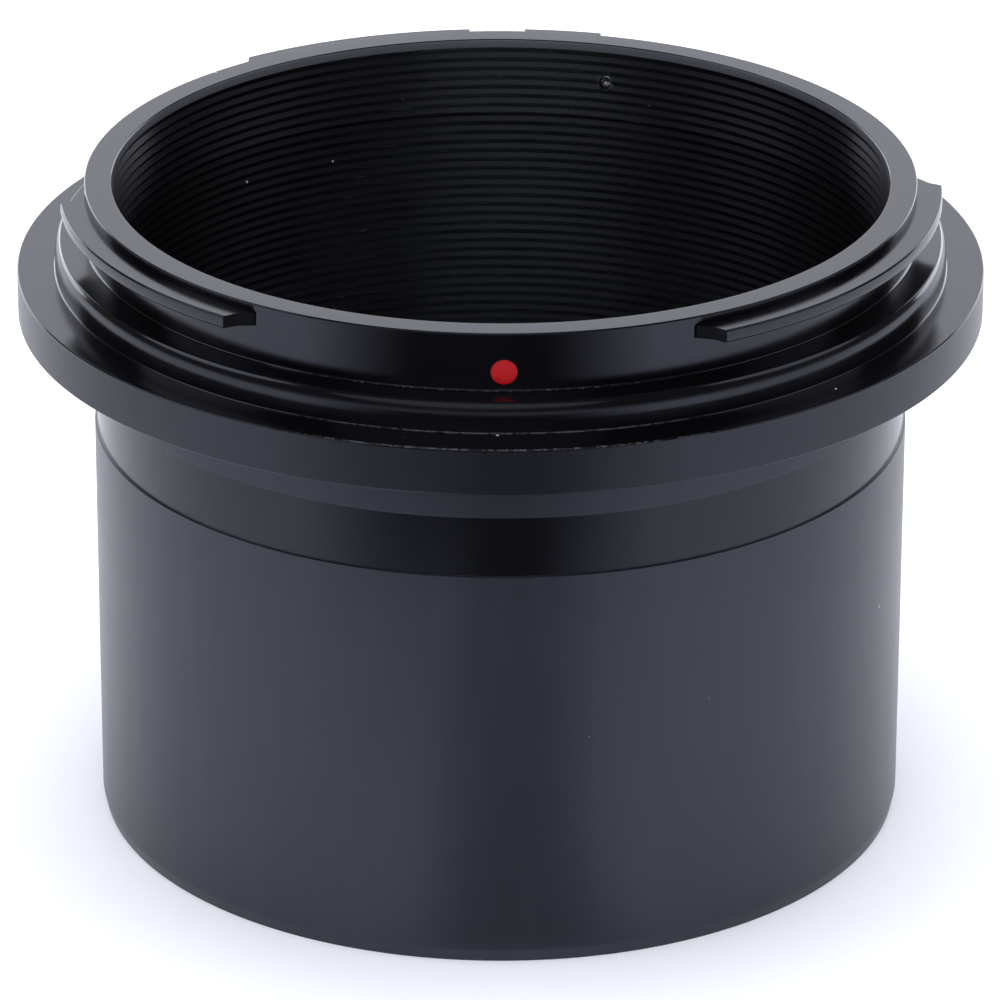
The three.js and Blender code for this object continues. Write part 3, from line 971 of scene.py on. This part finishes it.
# the card: a flat ring just above the floor
CARD_Z = 0.4
CARD_INNER = 26.2
CARD_OUTER = 420.0
CARD_STEP = 2
CARD_COLOR = (0.01, 0.01, 0.012, 1)
CARD_COVER = 0.98         # how much of the floor's light the card takes where it is darkest
FAR_MIDDLE = -5           # the far part: dark in front, with a faint darkness all round
FAR_FADE = (14, 57)
FAR_START = (52.0, 84.0)
FAR_ALL_ROUND = 0.2
NEAR_MIDDLE = 3           # the near part: a narrow dark wedge that reaches the foot of the barrel
NEAR_FADE = (5, 22)
NEAR_COVER = 0.97


def dim_world():
    """Weak even white light from all sides."""
    world = bpy.data.worlds.new("studio")
    bpy.context.scene.world = world
    world.use_nodes = True
    background = world.node_tree.nodes["Background"]
    background.inputs["Color"].default_value = (1.0, 1.0, 1.0, 1.0)
    background.inputs["Strength"].default_value = WORLD_STRENGTH


def floor():
    bm = bmesh.new()
    bmesh.ops.create_grid(bm, x_segments=8, y_segments=8, size=FLOOR_HALF_SIZE)
    piece = piece_from("studio_floor", bm)
    graph = Graph("pale_floor")
    graph.places()
    tone = graph.noise(graph.place, 0.02, 2.0)
    graph.finish(graph.mix(tone, *FLOOR_WHITES), 0.7, IOR=1.3)
    piece.data.materials.append(graph.material)


def area_light(name, place, target, size, power, reflected=True, diffuse=True):
    """Soft elliptical lamp; reflections or plain shading can be made to leave it out."""
    light = bpy.data.lights.new(name, "AREA")
    light.shape = "ELLIPSE"
    light.size, light.size_y = size
    light.energy = power
    light.color = LIGHT_COLOR
    lamp = bpy.data.objects.new(name, light)
    lamp.visible_glossy = reflected
    lamp.visible_diffuse = diffuse
    lamp.location = place
    lamp.rotation_euler = (Vector(target) - Vector(place)).to_track_quat("-Z", "Y").to_euler()
    bpy.context.scene.collection.objects.link(lamp)


def studio_lights():
    area_light("overhead", (0.0, 0.0, 1.0), (0, 0, 0), (1.8, 1.8), 25.0, reflected=False)
    area_light("front_fill", (0.0, -1.2, 0.5), (0, 0, 0.02), (1.2, 0.8), 5.0, reflected=False)
    area_light("front_high", (-0.15, -0.95, 0.75), (0, 0, 0.03), (1.4, 0.9), 1.7, diffuse=False)
    area_light("edge_left", (-0.65, 0.90, 0.16), (0, 0, 0.02), (0.7, 0.5), 3.0, diffuse=False)
    area_light("edge_right", (0.65, 0.90, 0.16), (0, 0, 0.02), (0.7, 0.5), 3.0, diffuse=False)
    area_light("left", (-0.85, 0.0, 0.75), (0, 0, 0.03), (0.8, 0.7), 2.2)
    area_light("right", (0.85, 0.0, 0.75), (0, 0, 0.03), (0.8, 0.7), 1.5)
    area_light("back", (0.0, 1.1, 0.45), (0, 0, 0.03), (2.2, 0.8), 5.9)


def wedge(graph, middle, fade):
    """1 near an angle in degrees, falling to 0 over the fade's two distances from it."""
    off = graph.math("ABSOLUTE", graph.math("SUBTRACT", graph.angle, math.radians(middle)))
    return graph.flipped(graph.between(off, math.radians(fade[0]), math.radians(fade[1])))


def card_darkness(graph):
    far = graph.math("MAXIMUM", wedge(graph, FAR_MIDDLE, FAR_FADE), FAR_ALL_ROUND)
    far = graph.times(graph.between(graph.radius, *FAR_START), far)
    near = graph.times(wedge(graph, NEAR_MIDDLE, NEAR_FADE), NEAR_COVER)
    return graph.times(graph.math("MAXIMUM", far, near), CARD_COVER)


def dark_card():
    """Dark ring just above the floor that only reflections see, in place of darker surroundings.

    Upright walls mirror the floor, so where the ring is dark they get their dark stretches.
    """
    bm = bmesh.new()
    rows = []
    for angle in range(-180, 181, CARD_STEP):
        rows.append([bm.verts.new(polar(radius, angle, CARD_Z)) for radius in (CARD_INNER, CARD_OUTER)])
    for a, b in zip(rows, rows[1:]):
        bm.faces.new((a[0], b[0], b[1], a[1]))
    piece = piece_from("front_card", bm)
    graph = Graph("card_black")
    graph.places()
    clear = graph.add("ShaderNodeBsdfTransparent")
    black = graph.add("ShaderNodeBsdfDiffuse")
    black.inputs["Color"].default_value = CARD_COLOR
    blend = graph.add("ShaderNodeMixShader")
    graph.link(card_darkness(graph), blend.inputs[0])
    graph.link(clear.outputs[0], blend.inputs[1])
    graph.link(black.outputs[0], blend.inputs[2])
    output = graph.tree.nodes["Material Output"]
    graph.link(blend.outputs[0], output.inputs["Surface"])
    graph.tree.nodes.remove(graph.shader)
    piece.data.materials.append(graph.material)
    piece.visible_camera = False
    piece.visible_diffuse = False
    piece.visible_shadow = False
    piece.visible_transmission = False


def camera():
    """Camera in front of the red dot, a little above the object; lengths in metres."""
    elevation = math.radians(23.97)
    roll = math.radians(0.142)
    aim_height = 0.01953      # of the point on the axis that it looks at
    distance = 0.4391         # from that point
    data = bpy.data.cameras.new("camera")
    data.sensor_width = 36
    data.lens = 250.4
    data.clip_start = 0.01
    viewer = bpy.data.objects.new("camera", data)
    rise = distance * math.sin(elevation)
    viewer.location = (0, -distance * math.cos(elevation), aim_height + rise)
    tilt = Matrix.Rotation(math.pi / 2 - elevation, 3, "X")
    viewer.rotation_euler = (tilt @ Matrix.Rotation(roll, 3, "Z")).to_euler()
    bpy.context.scene.collection.objects.link(viewer)
    bpy.context.scene.camera = viewer


# ------------------------------------------------------------------ build

materials = {
    "gloss": gloss_material(),
    "satin": satin_material(),
    "matt": matt_material(),
    "paint": paint_material(),
    "steel": steel_material(),
    "rubber": rubber_material(),
    "glass": glass_material(),
}

bayonet_mount(materials)
nosepiece_barrel(materials)
index_dot(materials)
stop_pin(materials)
cell_housing(materials)
retaining_ring(materials)
cell_seal(materials)
spacer_ring(materials)
lenses(materials)

dim_world()
floor()
studio_lights()
dark_card()
camera()
bpy.context.scene.view_settings.view_transform = "Standard"
